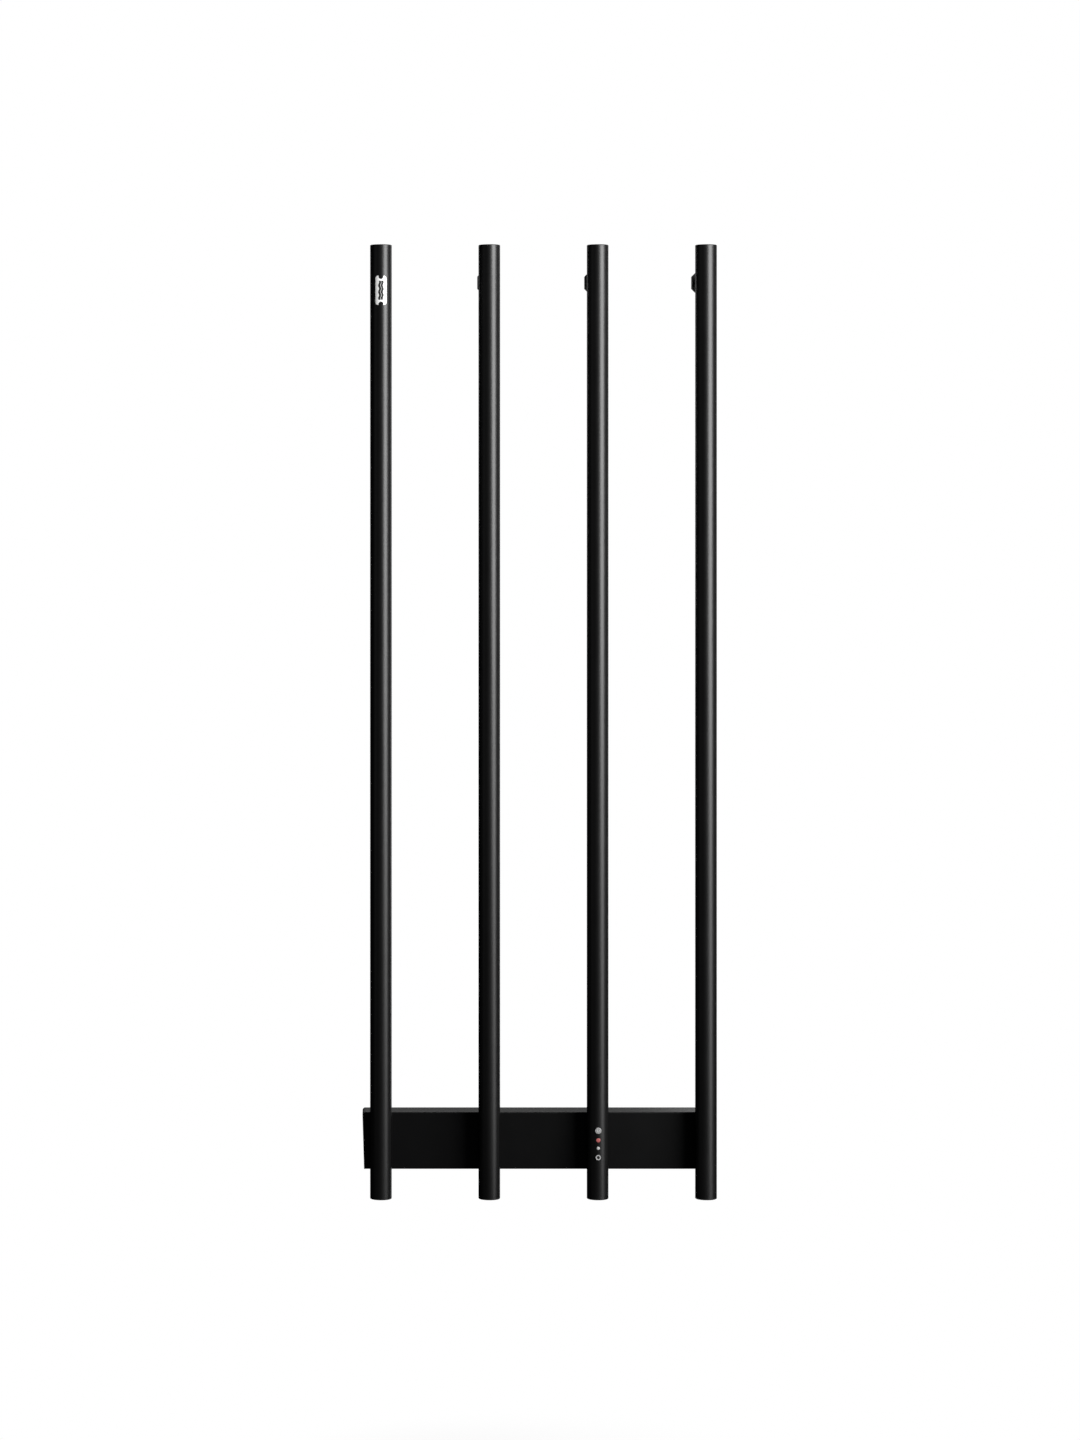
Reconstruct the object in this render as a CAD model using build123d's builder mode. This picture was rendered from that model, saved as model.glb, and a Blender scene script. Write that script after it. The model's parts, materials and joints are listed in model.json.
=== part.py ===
from build123d import *
import os

# A wall-mounted heated drying rail: four upright tubes, a flat housing low down, one wall foot each
# near the top, and two push buttons with two indicator lights on the third tube.
# Millimetres. X to the right, Z up, the wall is the plane Y = 0 and everything stands out towards -Y.
# The origin is on the wall, midway between the tubes and at the height of the housing's middle.
# "out" is a distance from the wall, so a point at `out` has Y = -out.

# Tubes and their caps
TUBE_D = 25.0
TUBE_WALL = 1.5
TUBE_PITCH = 125.0
TUBE_OUT = 55.0
TUBE_BOTTOM = -63.5
TUBE_TOP = 1036.5
END_ROUNDING = 1.0
CAP_THICKNESS = 2.5
CAP_SPIGOT = 12.0
CAP_SPIGOT_WALL = 1.5

# Clearances between pieces
RUNNING_FIT = 0.05
LOOSE_FIT = 0.2
GLUE_GAP = 0.02

# Housing
HOUSING_HEIGHT = 66.0
HOUSING_OUT = 35.0
HOUSING_LEFT = -209.0
HOUSING_RIGHT = 199.0
HOUSING_WALL = 2.0
HOUSING_EDGE = 1.2
END_CAP_THICKNESS = 4.0
END_CAP_TAPER = 1.9
END_CAP_CORNER = 3.2
END_CAP_TONGUE = 8.0
END_CAP_WALL = 1.4

# Wall plate
PLATE_THICKNESS = 2.0
PLATE_HALF_WIDTH = 184.0
PLATE_FLANGE_OUT = 12.0
PLATE_FLANGE = 1.5
WALL_HOLE_SPACING_X = 300.0
WALL_HOLE_SPACING_Z = 40.0
WALL_HOLE_R = 2.75

# Wall feet and standoffs
FOOT_Z = 996.5
FOOT_WIDTH = 25.0
FOOT_HEIGHT = 24.0
FOOT_CORNER = 5.0
FOOT_DEPTH = 14.0
FOOT_EDGE = 1.0
FOOT_WEB = 4.0
FOOT_HOLE_R = 2.6
FOOT_SINK_R = 4.6
STANDOFF_R = 8.0
NECK_R = 6.5

# Saddles between the tubes and the housing
SADDLE_WIDTH = 18.0
SADDLE_HEIGHT = 30.0
SADDLE_CORNER = 3.0
SADDLE_OUT = 45.0

# Hollow studs, nuts and nut blocks
STUD_R = 3.95
STUD_BORE_R = 2.95
STUD_HOLE_R = 4.2
STUD_INNER_OUT = 25.0
THREAD_HOLE_R = 4.0
INSERT_FACE_OUT = 52.0
INSERT_HEIGHT = 20.0
THREAD_SHORT = 1.0
NUT_ACROSS_FLATS = 13.0
NUT_THICKNESS = 5.0
NUT_FLANGE_R = 7.9
NUT_FLANGE_THICKNESS = 1.2

# Screws
GRUB_R = 2.0
GRUB_LENGTH = 5.0
GRUB_SOCKET = 2.0
GRUB_RECESS = 0.3
M3_R = 1.45
M3_HEAD_R = 2.9
M3_HEAD = 1.6
SCREW_TIP_OUT = 0.5

# Name plate
LABEL_WIDTH = 12.7
LABEL_HEIGHT = 33.6
LABEL_CORNER = 3.0
LABEL_Z = 983.4
LABEL_THICKNESS = 0.5
LABEL_NOTCH_WIDTH = 5.6
LABEL_NOTCH_DEPTH = 3.8

# Supply side, inside the housing
GROMMET_BODY_R = 7.9
GROMMET_FLANGE_R = 10.0
GROMMET_FLANGE = 2.0
GROMMET_EDGE = 0.8
GROMMET_BORE_R = 4.5
CLAMP_X = -134.0
CLAMP_WIDTH = 8.0
CLAMP_SCREW_Z = 10.0
CLAMP_FOOT = 4.0
CLAMP_STRAP = 2.0
EARTH_X = -76.0
EARTH_Z = -22.0
EARTH_SHANK_OUT = 8.0
BLOCK_LEFT = -124.0
BLOCK_RIGHT = -90.0
BLOCK_TOP = 22.0
BLOCK_OUT = 18.0
BLOCK_WIRE_OUT = 10.0
POLE_Z = [4.0, 11.0, 18.0]
POLE_SCREW_X = [-116.0, -98.0]
POLE_R = 1.9
POLE_SCREW_LENGTH = 4.0
SLOT_WIDTH = 0.6
SLOT_LENGTH = 2.8
SLOT_DEPTH = 0.8

# Power board and what stands on it
BOARD_THICKNESS = 1.6
PCB_OUT = 8.0
PCB_HALF_WIDTH = 40.0
PCB_HALF_HEIGHT = 24.0
SPACER_SPACING_X = 30.0
SPACER_SPACING_Z = 43.0
SPACER_R = 2.2
SPACER_TIP_R = 1.5
SPACER_TIP = 1.5
TERMINAL_DEPTH = 10.0
TERMINAL_INSET = 2.0
WIRE_HOLE_DEPTH = 6.0
PART_CORNER = 1.0
RELAY_X = (-24.0, -8.0)
RELAY_Z = (-16.0, 4.0)
RELAY_HEIGHT = 15.0
MODULE_X = (-4.0, 24.0)
MODULE_Z = (-16.0, 8.0)
MODULE_HEIGHT = 16.0
FUSE_X = (-22.0, -2.0)
FUSE_Z = 14.0
FUSE_R = 2.3
FUSE_FERRULE_R = 2.6
FUSE_FERRULE = 5.0

# Heating cables, cutouts and leads
LEG_R = 2.5
LEG_OFFSET = 4.5
LEG_GAP = 1.0
ELEMENT_TOP = 975.0
CUTOUT_LOW = 42.0
CUTOUT_HIGH = 64.0
CUTOUT_WIDTH = 16.0
CUTOUT_DEPTH = 8.0
CUTOUT_CORNER = 2.0
CUTOUT_SOCKET = 5.0
LEAD_R = 1.4
LEAD_PAIR = 1.47
LEAD_OUT = 54.7
LEAD_RUN_OUT = 15.0
LEAD_BEND = 4.0
LEAD_WIDE_BEND = 6.0
LEAD_SLANT = 14.0
LEAD_SOCKET = 3.0
SUPPLY_R = 1.2
LEAD_PAST_SCREW = 2.2
SUPPLY_RUN_OUT = 12.0
UPPER_LEAD_Z = -5.0
LOWER_LEAD_Z = -14.0
CONTROL_LEAD_Z = 12.0

# Controls, as heights on the third tube
TIMER_Z = 16.6
RED_Z = 5.6
WHITE_Z = -3.6
POWER_Z = -14.2
BUTTON_R = 3.5
BUTTON_FRONT = 68.0
BUTTON_EDGE = 0.4
BUTTON_FLANGE_R = 4.3
BUTTON_FLANGE = 1.25
BUTTON_FLANGE_FRONT = 64.9
STEM_R = 1.7
STEM_REACH = 0.3
RED_R = 2.4
WHITE_R = 1.8
LIGHT_PROUD = 0.3
LIGHT_EDGE = 0.6
LIGHT_FLANGE = 1.5
LIGHT_FLANGE_STEP = 0.5
BOARD_FRONT = 59.0
BOARD_WIDTH = 14.0
SWITCH_SIDE = 6.0
SWITCH_FRONT = 62.5
SWITCH_WELL = 1.2
CARRIER_LOW = -26.0
CARRIER_HIGH = 30.0
PIN_R = 0.95
PIN_INSET = 3.0
PIN_HEAD = 0.4
PLUG_HEIGHT = 5.0
PLUG_TOP = -16.0
PLUG_DEPTH = 4.9

# Worked out from the sizes above
TUBE_R = TUBE_D / 2
TUBE_BORE_R = TUBE_R - TUBE_WALL
TUBE_X = [TUBE_PITCH * step for step in (-1.5, -0.5, 0.5, 1.5)]
LABEL_X = TUBE_X[0]
CONTROL_X = TUBE_X[2]
SEAT_R = TUBE_R + RUNNING_FIT
SPIGOT_R = TUBE_BORE_R - RUNNING_FIT
HALF_HEIGHT = HOUSING_HEIGHT / 2
INNER_HALF_HEIGHT = HALF_HEIGHT - HOUSING_WALL
INNER_OUT = HOUSING_OUT - HOUSING_WALL
SHELL_LEFT = HOUSING_LEFT + END_CAP_THICKNESS
SHELL_RIGHT = HOUSING_RIGHT - END_CAP_THICKNESS
FOOT_GRUB_OUT = (FOOT_DEPTH + FOOT_WEB) / 2
LOCK_SCREW_PLACES = [(x, -(PLATE_FLANGE_OUT + PLATE_THICKNESS) / 2) for x in (-TUBE_PITCH, TUBE_PITCH)]
STUD_PLACES = [(x, 0) for x in TUBE_X]
INSERT_PLACES = [(x, z) for x in TUBE_X for z in (0, FOOT_Z)]
GROMMET_X = -WALL_HOLE_SPACING_X / 2
CLAMP_SCREW_PLACES = [(CLAMP_X, -CLAMP_SCREW_Z), (CLAMP_X, CLAMP_SCREW_Z)]
POLE_SCREW_PLACES = [(x, z) for x in POLE_SCREW_X for z in POLE_Z]
PCB_FRONT = PCB_OUT + BOARD_THICKNESS
TERMINAL_X = PCB_HALF_WIDTH - TERMINAL_INSET
WIRE_END_X = TERMINAL_X - WIRE_HOLE_DEPTH + 2 * LOOSE_FIT
TERMINALS = [
    # side of the board, lower and upper edge, and each wire hole as (out, height, radius of its lead)
    (-1, (7.0, BLOCK_TOP), [(SUPPLY_RUN_OUT, z, SUPPLY_R) for z in POLE_Z[1:]]),
    (-1, (-20.0, 0.0), [(LEAD_RUN_OUT, z, LEAD_R) for z in (UPPER_LEAD_Z, LOWER_LEAD_Z)]),
    (1, (-20.0, 0.0), [(LEAD_RUN_OUT, z, LEAD_R) for z in (UPPER_LEAD_Z, LOWER_LEAD_Z)]),
    (1, (5.0, 19.0), [(LEAD_RUN_OUT, CONTROL_LEAD_Z, LEAD_R)]),
]
LEAD_X = [x - LEAD_PAIR if x == CONTROL_X else x for x in TUBE_X]
BUTTON_PLACES = [(CONTROL_X, TIMER_Z), (CONTROL_X, POWER_Z)]
LIGHTS = [("red_indicator", RED_Z, RED_R), ("white_indicator", WHITE_Z, WHITE_R)]
PIN_PLACES = [(CONTROL_X, CARRIER_LOW + PIN_INSET), (CONTROL_X, CARRIER_HIGH - PIN_INSET)]

os.makedirs("parts", exist_ok=True)


def wall_plane(out):
    """A plane parallel to the wall at this distance from it, with local x = X and local y = Z."""
    return Plane.XZ.offset(out)


def save(builder, name):
    builder.part.label = name
    export_step(builder.part, f"parts/{name}.step")


def lead(points, radii, r):
    """Adds a round lead along straight runs joined by arcs to the part being built."""
    with BuildLine() as route:
        FilletPolyline(*points, radius=radii)
    with BuildSketch(Plane(origin=route.line @ 0, z_dir=route.line % 0)) as section:
        Circle(r)
    sweep(section.sketch, path=route.line)


def box_from(x, y, z):
    """Adds a box between two limits on each axis to the part being built."""
    with BuildSketch(Plane.XY.offset(z[0])) as base:
        with Locations(((x[0] + x[1]) / 2, (y[0] + y[1]) / 2)):
            Rectangle(x[1] - x[0], y[1] - y[0])
    extrude(base.sketch, amount=z[1] - z[0])


# ---- Tubes, their caps, and what is inside them ----

for number, x in enumerate(TUBE_X, start=1):
    with BuildPart() as tube:
        with BuildSketch(Plane.XY.offset(TUBE_BOTTOM + CAP_THICKNESS)):
            with Locations((x, -TUBE_OUT)):
                Circle(TUBE_R)
                Circle(TUBE_BORE_R, mode=Mode.SUBTRACT)
        extrude(amount=TUBE_TOP - TUBE_BOTTOM - 2 * CAP_THICKNESS)
        # holes in the rear wall, for the hollow stud and the standoff
        with BuildSketch(wall_plane(0)):
            with Locations((x, 0), (x, FOOT_Z)):
                Circle(STUD_HOLE_R)
        extrude(amount=TUBE_OUT, mode=Mode.SUBTRACT)
        if x == CONTROL_X:
            # holes in the front wall, for the buttons and the lights
            with BuildSketch(wall_plane(TUBE_OUT)):
                with Locations(*BUTTON_PLACES):
                    Circle(BUTTON_R + 2 * RUNNING_FIT)
                for _, z, r in LIGHTS:
                    with Locations((x, z)):
                        Circle(r + RUNNING_FIT)
            extrude(amount=TUBE_D, mode=Mode.SUBTRACT)
    save(tube, f"tube_{number}")

    for place, end, inward in (("top", TUBE_TOP, -1), ("bottom", TUBE_BOTTOM, 1)):
        with BuildPart() as cap:
            with BuildSketch(Plane.XY.offset(end)):
                with Locations((x, -TUBE_OUT)):
                    Circle(TUBE_R)
            extrude(amount=inward * CAP_THICKNESS)
            rims = cap.edges().filter_by(GeomType.CIRCLE).sort_by(Axis.Z)
            fillet(rims[0 if inward > 0 else -1], END_ROUNDING)
            with BuildSketch(Plane.XY.offset(end + inward * CAP_THICKNESS)):
                with Locations((x, -TUBE_OUT)):
                    Circle(SPIGOT_R)
                    Circle(SPIGOT_R - CAP_SPIGOT_WALL, mode=Mode.SUBTRACT)
            extrude(amount=inward * CAP_SPIGOT)
        save(cap, f"{place}_cap_{number}")

    with BuildPart() as element:
        # one heating cable, up one side of the tube and down the other
        leg_bottom = CUTOUT_HIGH - CUTOUT_SOCKET + LEG_GAP
        with BuildLine() as hairpin:
            FilletPolyline(
                (x - LEG_OFFSET, -TUBE_OUT, leg_bottom),
                (x - LEG_OFFSET, -TUBE_OUT, ELEMENT_TOP),
                (x + LEG_OFFSET, -TUBE_OUT, ELEMENT_TOP),
                (x + LEG_OFFSET, -TUBE_OUT, leg_bottom),
                radius=LEG_OFFSET - GLUE_GAP,
            )
        with BuildSketch(Plane.XY.offset(leg_bottom)):
            with Locations((x - LEG_OFFSET, -TUBE_OUT)):
                Circle(LEG_R)
        sweep(path=hairpin.line)
    save(element, f"heating_element_{number}")

    with BuildPart() as saddle:
        with BuildSketch(wall_plane(HOUSING_OUT)):
            with Locations((x, 0)):
                RectangleRounded(SADDLE_WIDTH, SADDLE_HEIGHT, SADDLE_CORNER)
        extrude(amount=SADDLE_OUT - HOUSING_OUT)
        with BuildSketch(Plane.XY.offset(-SADDLE_HEIGHT)):
            with Locations((x, -TUBE_OUT)):
                Circle(SEAT_R)
        extrude(amount=2 * SADDLE_HEIGHT, mode=Mode.SUBTRACT)
        with BuildSketch(wall_plane(HOUSING_OUT)):
            with Locations((x, 0)):
                Circle(STUD_HOLE_R)
        extrude(amount=SADDLE_OUT, mode=Mode.SUBTRACT)
    save(saddle, f"saddle_{number}")

    with BuildPart() as foot:
        with BuildSketch(wall_plane(0)):
            with Locations((x, FOOT_Z)):
                Rectangle(FOOT_WIDTH, FOOT_HEIGHT)
        extrude(amount=FOOT_DEPTH)
        chamfer(foot.edges().filter_by(Axis.Y), FOOT_CORNER)
        fillet(foot.faces().sort_by(Axis.Y)[0].edges(), FOOT_EDGE)
        with Locations(Plane(origin=(x, -FOOT_DEPTH, FOOT_Z), z_dir=(0, -1, 0))):
            Hole(NECK_R + RUNNING_FIT, depth=FOOT_DEPTH - FOOT_WEB)
        with Locations(Plane(origin=(x, -FOOT_WEB, FOOT_Z), z_dir=(0, -1, 0))):
            CounterSinkHole(FOOT_HOLE_R, FOOT_SINK_R, depth=FOOT_WEB)
        # threaded hole from below, for the grub screw
        with Locations(Plane(origin=(x, -FOOT_GRUB_OUT, FOOT_Z - FOOT_HEIGHT / 2), z_dir=(0, 0, -1))):
            Hole(GRUB_R + RUNNING_FIT, depth=FOOT_HEIGHT / 2 - NECK_R)
    save(foot, f"wall_foot_{number}")

    with BuildPart() as standoff:
        with BuildSketch(wall_plane(FOOT_WEB + LOOSE_FIT)):
            with Locations((x, FOOT_Z)):
                Circle(NECK_R)
        extrude(amount=FOOT_DEPTH)
        with BuildSketch(wall_plane(FOOT_DEPTH)):
            with Locations((x, FOOT_Z)):
                Circle(STANDOFF_R)
        extrude(amount=SADDLE_OUT - FOOT_DEPTH)
        # the end that meets the tube is hollowed to the tube's curve
        with BuildSketch(Plane.XY.offset(FOOT_Z - FOOT_HEIGHT)):
            with Locations((x, -TUBE_OUT)):
                Circle(SEAT_R)
        extrude(amount=2 * FOOT_HEIGHT, mode=Mode.SUBTRACT)
        # threaded end, into the nut block in the tube
        with BuildSketch(wall_plane(FOOT_DEPTH)):
            with Locations((x, FOOT_Z)):
                Circle(STUD_R)
        extrude(amount=INSERT_FACE_OUT - FOOT_DEPTH - THREAD_SHORT)
    save(standoff, f"standoff_{number}")

with BuildPart() as tube_inserts:
    # nut blocks that lie against the rear of each tube's bore
    for x, z in INSERT_PLACES:
        with BuildSketch(Plane.XY.offset(z - INSERT_HEIGHT / 2)):
            with Locations((x, -TUBE_OUT)):
                Circle(SPIGOT_R)
            with Locations((x, -INSERT_FACE_OUT - TUBE_R)):
                Rectangle(TUBE_D, TUBE_D, mode=Mode.SUBTRACT)
        extrude(amount=INSERT_HEIGHT)
    with BuildSketch(wall_plane(0)):
        with Locations(*INSERT_PLACES):
            Circle(THREAD_HOLE_R)
    extrude(amount=TUBE_OUT, mode=Mode.SUBTRACT)
save(tube_inserts, "tube_inserts")

with BuildPart() as mounting_studs:
    with BuildSketch(wall_plane(STUD_INNER_OUT)):
        with Locations(*STUD_PLACES):
            Circle(STUD_R)
            Circle(STUD_BORE_R, mode=Mode.SUBTRACT)
    extrude(amount=INSERT_FACE_OUT - STUD_INNER_OUT)
save(mounting_studs, "mounting_studs")

with BuildPart() as stud_nuts:
    with BuildSketch(wall_plane(INNER_OUT)):
        with Locations(*STUD_PLACES):
            Circle(NUT_FLANGE_R)
    extrude(amount=-NUT_FLANGE_THICKNESS)
    with BuildSketch(wall_plane(INNER_OUT - NUT_FLANGE_THICKNESS)):
        with Locations(*STUD_PLACES):
            RegularPolygon(NUT_ACROSS_FLATS / 2, 6, major_radius=False)
    extrude(amount=-NUT_THICKNESS)
    with BuildSketch(wall_plane(INNER_OUT)):
        with Locations(*STUD_PLACES):
            Circle(THREAD_HOLE_R)
    extrude(amount=-HOUSING_OUT, mode=Mode.SUBTRACT)
save(stud_nuts, "stud_nuts")

with BuildPart() as grub_screws:
    # one under each wall foot, and two under the housing that lock it to the wall plate
    grub_places = [(x, -FOOT_GRUB_OUT, FOOT_Z - NECK_R - GRUB_LENGTH) for x in TUBE_X]
    grub_places += [(x, y, -HALF_HEIGHT + GRUB_RECESS) for x, y in LOCK_SCREW_PLACES]
    for x, y, z in grub_places:
        with BuildSketch(Plane.XY.offset(z)):
            with Locations((x, y)):
                Circle(GRUB_R)
        extrude(amount=GRUB_LENGTH)
        with BuildSketch(Plane.XY.offset(z)):
            with Locations((x, y)):
                RegularPolygon(GRUB_SOCKET / 2, 6, major_radius=False)
        extrude(amount=GRUB_LENGTH / 2, mode=Mode.SUBTRACT)
save(grub_screws, "grub_screws")

with BuildPart() as name_plate:
    with BuildSketch(Plane.XY.offset(LABEL_Z - LABEL_HEIGHT / 2)):
        with Locations((LABEL_X, -TUBE_OUT)):
            Circle(TUBE_R + LABEL_THICKNESS)
            Circle(TUBE_R + GLUE_GAP, mode=Mode.SUBTRACT)
    extrude(amount=LABEL_HEIGHT)
    with BuildSketch(wall_plane(TUBE_OUT)):
        with Locations((LABEL_X, LABEL_Z)):
            RectangleRounded(LABEL_WIDTH, LABEL_HEIGHT, LABEL_CORNER)
        # a round-ended notch at the middle of the upper and of the lower edge
        with Locations((LABEL_X, LABEL_Z - LABEL_HEIGHT / 2), (LABEL_X, LABEL_Z + LABEL_HEIGHT / 2)):
            SlotOverall(2 * LABEL_NOTCH_DEPTH, LABEL_NOTCH_WIDTH, rotation=90, mode=Mode.SUBTRACT)
    extrude(amount=TUBE_D, mode=Mode.INTERSECT)
save(name_plate, "name_plate")

# ---- Housing ----

with BuildPart() as housing_shell:
    box_from((SHELL_LEFT, SHELL_RIGHT), (-HOUSING_OUT, 0), (-HALF_HEIGHT, HALF_HEIGHT))
    fillet(housing_shell.edges().filter_by(Axis.X).group_by(Axis.Y)[0], HOUSING_EDGE)
    with BuildSketch(wall_plane(0)):
        with Locations(((SHELL_LEFT + SHELL_RIGHT) / 2, 0)):
            Rectangle(SHELL_RIGHT - SHELL_LEFT, 2 * INNER_HALF_HEIGHT)
    extrude(amount=INNER_OUT, mode=Mode.SUBTRACT)
    with BuildSketch(wall_plane(0)):
        with Locations(*STUD_PLACES):
            Circle(STUD_HOLE_R)
    extrude(amount=HOUSING_OUT, mode=Mode.SUBTRACT)
    with BuildSketch(Plane.XY.offset(-HALF_HEIGHT)):
        with Locations(*LOCK_SCREW_PLACES):
            Circle(GRUB_R + LOOSE_FIT)
    extrude(amount=HOUSING_WALL, mode=Mode.SUBTRACT)
save(housing_shell, "housing_shell")

for side, outer, inward in (("left", HOUSING_LEFT, 1), ("right", HOUSING_RIGHT, -1)):
    joint_x = outer + inward * END_CAP_THICKNESS
    with BuildPart() as end_cap:
        # the outer face leans in towards the bottom
        with BuildSketch(wall_plane(0)):
            with BuildLine():
                Polyline(
                    (joint_x, HALF_HEIGHT),
                    (outer, HALF_HEIGHT),
                    (outer + inward * END_CAP_TAPER, -HALF_HEIGHT),
                    (joint_x, -HALF_HEIGHT),
                    close=True,
                )
            make_face()
        extrude(amount=HOUSING_OUT)
        top_edges = end_cap.edges().filter_by(Axis.Y).group_by(Axis.Z)[-1].sort_by(Axis.X)
        fillet(top_edges[0 if inward > 0 else -1], END_CAP_CORNER)
        front_edges = end_cap.faces().sort_by(Axis.Y)[0].edges()
        fillet([edge for edge in front_edges if abs(edge.center().X - joint_x) > RUNNING_FIT], HOUSING_EDGE)
        # hollowed from behind the joint, with a tongue above and below that slips inside the shell
        tongue_x = joint_x + inward * END_CAP_TONGUE
        tongue_z = INNER_HALF_HEIGHT - RUNNING_FIT
        for low in (-tongue_z, tongue_z - HOUSING_WALL):
            tongue_y = (-INNER_OUT + RUNNING_FIT, -PLATE_THICKNESS)
            box_from(sorted((joint_x, tongue_x)), tongue_y, (low, low + HOUSING_WALL))
        hollow_x = outer + inward * (END_CAP_TAPER + END_CAP_WALL)
        with BuildSketch(wall_plane(0)):
            with Locations(((hollow_x + tongue_x) / 2, 0)):
                Rectangle(abs(tongue_x - hollow_x), 2 * (tongue_z - HOUSING_WALL))
        extrude(amount=INNER_OUT, mode=Mode.SUBTRACT)
    save(end_cap, f"{side}_end_cap")

with BuildPart() as wall_plate:
    plate_x = (-PLATE_HALF_WIDTH, PLATE_HALF_WIDTH)
    box_from(plate_x, (-PLATE_THICKNESS, 0), (-INNER_HALF_HEIGHT, INNER_HALF_HEIGHT))
    for low in (-INNER_HALF_HEIGHT, INNER_HALF_HEIGHT - PLATE_FLANGE):
        box_from(plate_x, (-PLATE_FLANGE_OUT, -PLATE_THICKNESS), (low, low + PLATE_FLANGE))
    with BuildSketch(wall_plane(0)):
        with GridLocations(WALL_HOLE_SPACING_X, WALL_HOLE_SPACING_Z, 2, 2):
            Circle(WALL_HOLE_R)
        with Locations((GROMMET_X, 0)):
            Circle(GROMMET_BODY_R + RUNNING_FIT)
        with Locations(*CLAMP_SCREW_PLACES, (EARTH_X, EARTH_Z)):
            Circle(M3_R + RUNNING_FIT)
    extrude(amount=PLATE_THICKNESS, mode=Mode.SUBTRACT)
    with BuildSketch(Plane.XY.offset(-INNER_HALF_HEIGHT)):
        with Locations(*LOCK_SCREW_PLACES):
            Circle(GRUB_R + RUNNING_FIT)
    extrude(amount=PLATE_FLANGE, mode=Mode.SUBTRACT)
save(wall_plate, "wall_plate")

# ---- Supply side, inside the housing ----

with BuildPart() as cable_grommet:
    with BuildSketch(wall_plane(0)):
        with Locations((GROMMET_X, 0)):
            Circle(GROMMET_BODY_R)
    extrude(amount=PLATE_THICKNESS)
    with BuildSketch(wall_plane(PLATE_THICKNESS)):
        with Locations((GROMMET_X, 0)):
            Circle(GROMMET_FLANGE_R)
    extrude(amount=GROMMET_FLANGE)
    fillet(cable_grommet.edges().filter_by(GeomType.CIRCLE).sort_by(Axis.Y)[0], GROMMET_EDGE)
    with BuildSketch(wall_plane(0)):
        with Locations((GROMMET_X, 0)):
            Circle(GROMMET_BORE_R)
    extrude(amount=PLATE_THICKNESS + GROMMET_FLANGE, mode=Mode.SUBTRACT)
save(cable_grommet, "cable_grommet")

with BuildPart() as cord_clamp:
    # an arched strap over the cable's place, with a foot at each end
    with BuildSketch(Plane.YZ.offset(CLAMP_X - CLAMP_WIDTH / 2)):
        with Locations((-PLATE_THICKNESS - CLAMP_STRAP / 2, 0)):
            Rectangle(CLAMP_STRAP, 2 * (CLAMP_SCREW_Z + CLAMP_FOOT))
        with Locations((-PLATE_THICKNESS, 0)):
            Circle(GROMMET_BORE_R + CLAMP_STRAP)
            Circle(GROMMET_BORE_R, mode=Mode.SUBTRACT)
        with Locations((-PLATE_THICKNESS + CLAMP_SCREW_Z, 0)):
            Rectangle(2 * CLAMP_SCREW_Z, HOUSING_HEIGHT, mode=Mode.SUBTRACT)
    extrude(amount=CLAMP_WIDTH)
    with BuildSketch(wall_plane(0)):
        with Locations(*CLAMP_SCREW_PLACES):
            Circle(M3_R + LOOSE_FIT)
    extrude(amount=HOUSING_OUT, mode=Mode.SUBTRACT)
save(cord_clamp, "cord_clamp")

with BuildPart() as clamp_screws:
    head_out = PLATE_THICKNESS + CLAMP_STRAP
    with BuildSketch(wall_plane(SCREW_TIP_OUT)):
        with Locations(*CLAMP_SCREW_PLACES):
            Circle(M3_R)
    extrude(amount=head_out - SCREW_TIP_OUT)
    with BuildSketch(wall_plane(head_out)):
        with Locations(*CLAMP_SCREW_PLACES):
            Circle(M3_HEAD_R)
    extrude(amount=M3_HEAD)
save(clamp_screws, "clamp_screws")

with BuildPart() as earth_screw:
    with BuildSketch(wall_plane(SCREW_TIP_OUT)):
        with Locations((EARTH_X, EARTH_Z)):
            Circle(M3_R)
    extrude(amount=EARTH_SHANK_OUT - SCREW_TIP_OUT)
    with BuildSketch(wall_plane(EARTH_SHANK_OUT)):
        with Locations((EARTH_X, EARTH_Z)):
            Circle(M3_HEAD_R)
    extrude(amount=M3_HEAD)
save(earth_screw, "earth_screw")

with BuildPart() as terminal_block:
    box_from((BLOCK_LEFT, BLOCK_RIGHT), (-BLOCK_OUT, -PLATE_THICKNESS), (0, BLOCK_TOP))
    with BuildSketch(Plane.YZ.offset(BLOCK_LEFT)):
        with Locations(*[(-BLOCK_WIRE_OUT, z) for z in POLE_Z]):
            Circle(POLE_R)
    extrude(amount=BLOCK_RIGHT - BLOCK_LEFT, mode=Mode.SUBTRACT)
    with BuildSketch(wall_plane(BLOCK_WIRE_OUT)):
        with Locations(*POLE_SCREW_PLACES):
            Circle(POLE_R)
    extrude(amount=BLOCK_OUT, mode=Mode.SUBTRACT)
save(terminal_block, "terminal_block")

with BuildPart() as terminal_screws:
    pole_screw_out = BLOCK_WIRE_OUT + SUPPLY_R + LOOSE_FIT
    with BuildSketch(wall_plane(pole_screw_out)):
        with Locations(*POLE_SCREW_PLACES):
            Circle(POLE_R - RUNNING_FIT)
    extrude(amount=POLE_SCREW_LENGTH)
    with BuildSketch(wall_plane(pole_screw_out + POLE_SCREW_LENGTH)):
        with Locations(*POLE_SCREW_PLACES):
            Rectangle(SLOT_WIDTH, SLOT_LENGTH)
    extrude(amount=-SLOT_DEPTH, mode=Mode.SUBTRACT)
save(terminal_screws, "terminal_screws")

# ---- Power board ----

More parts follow.
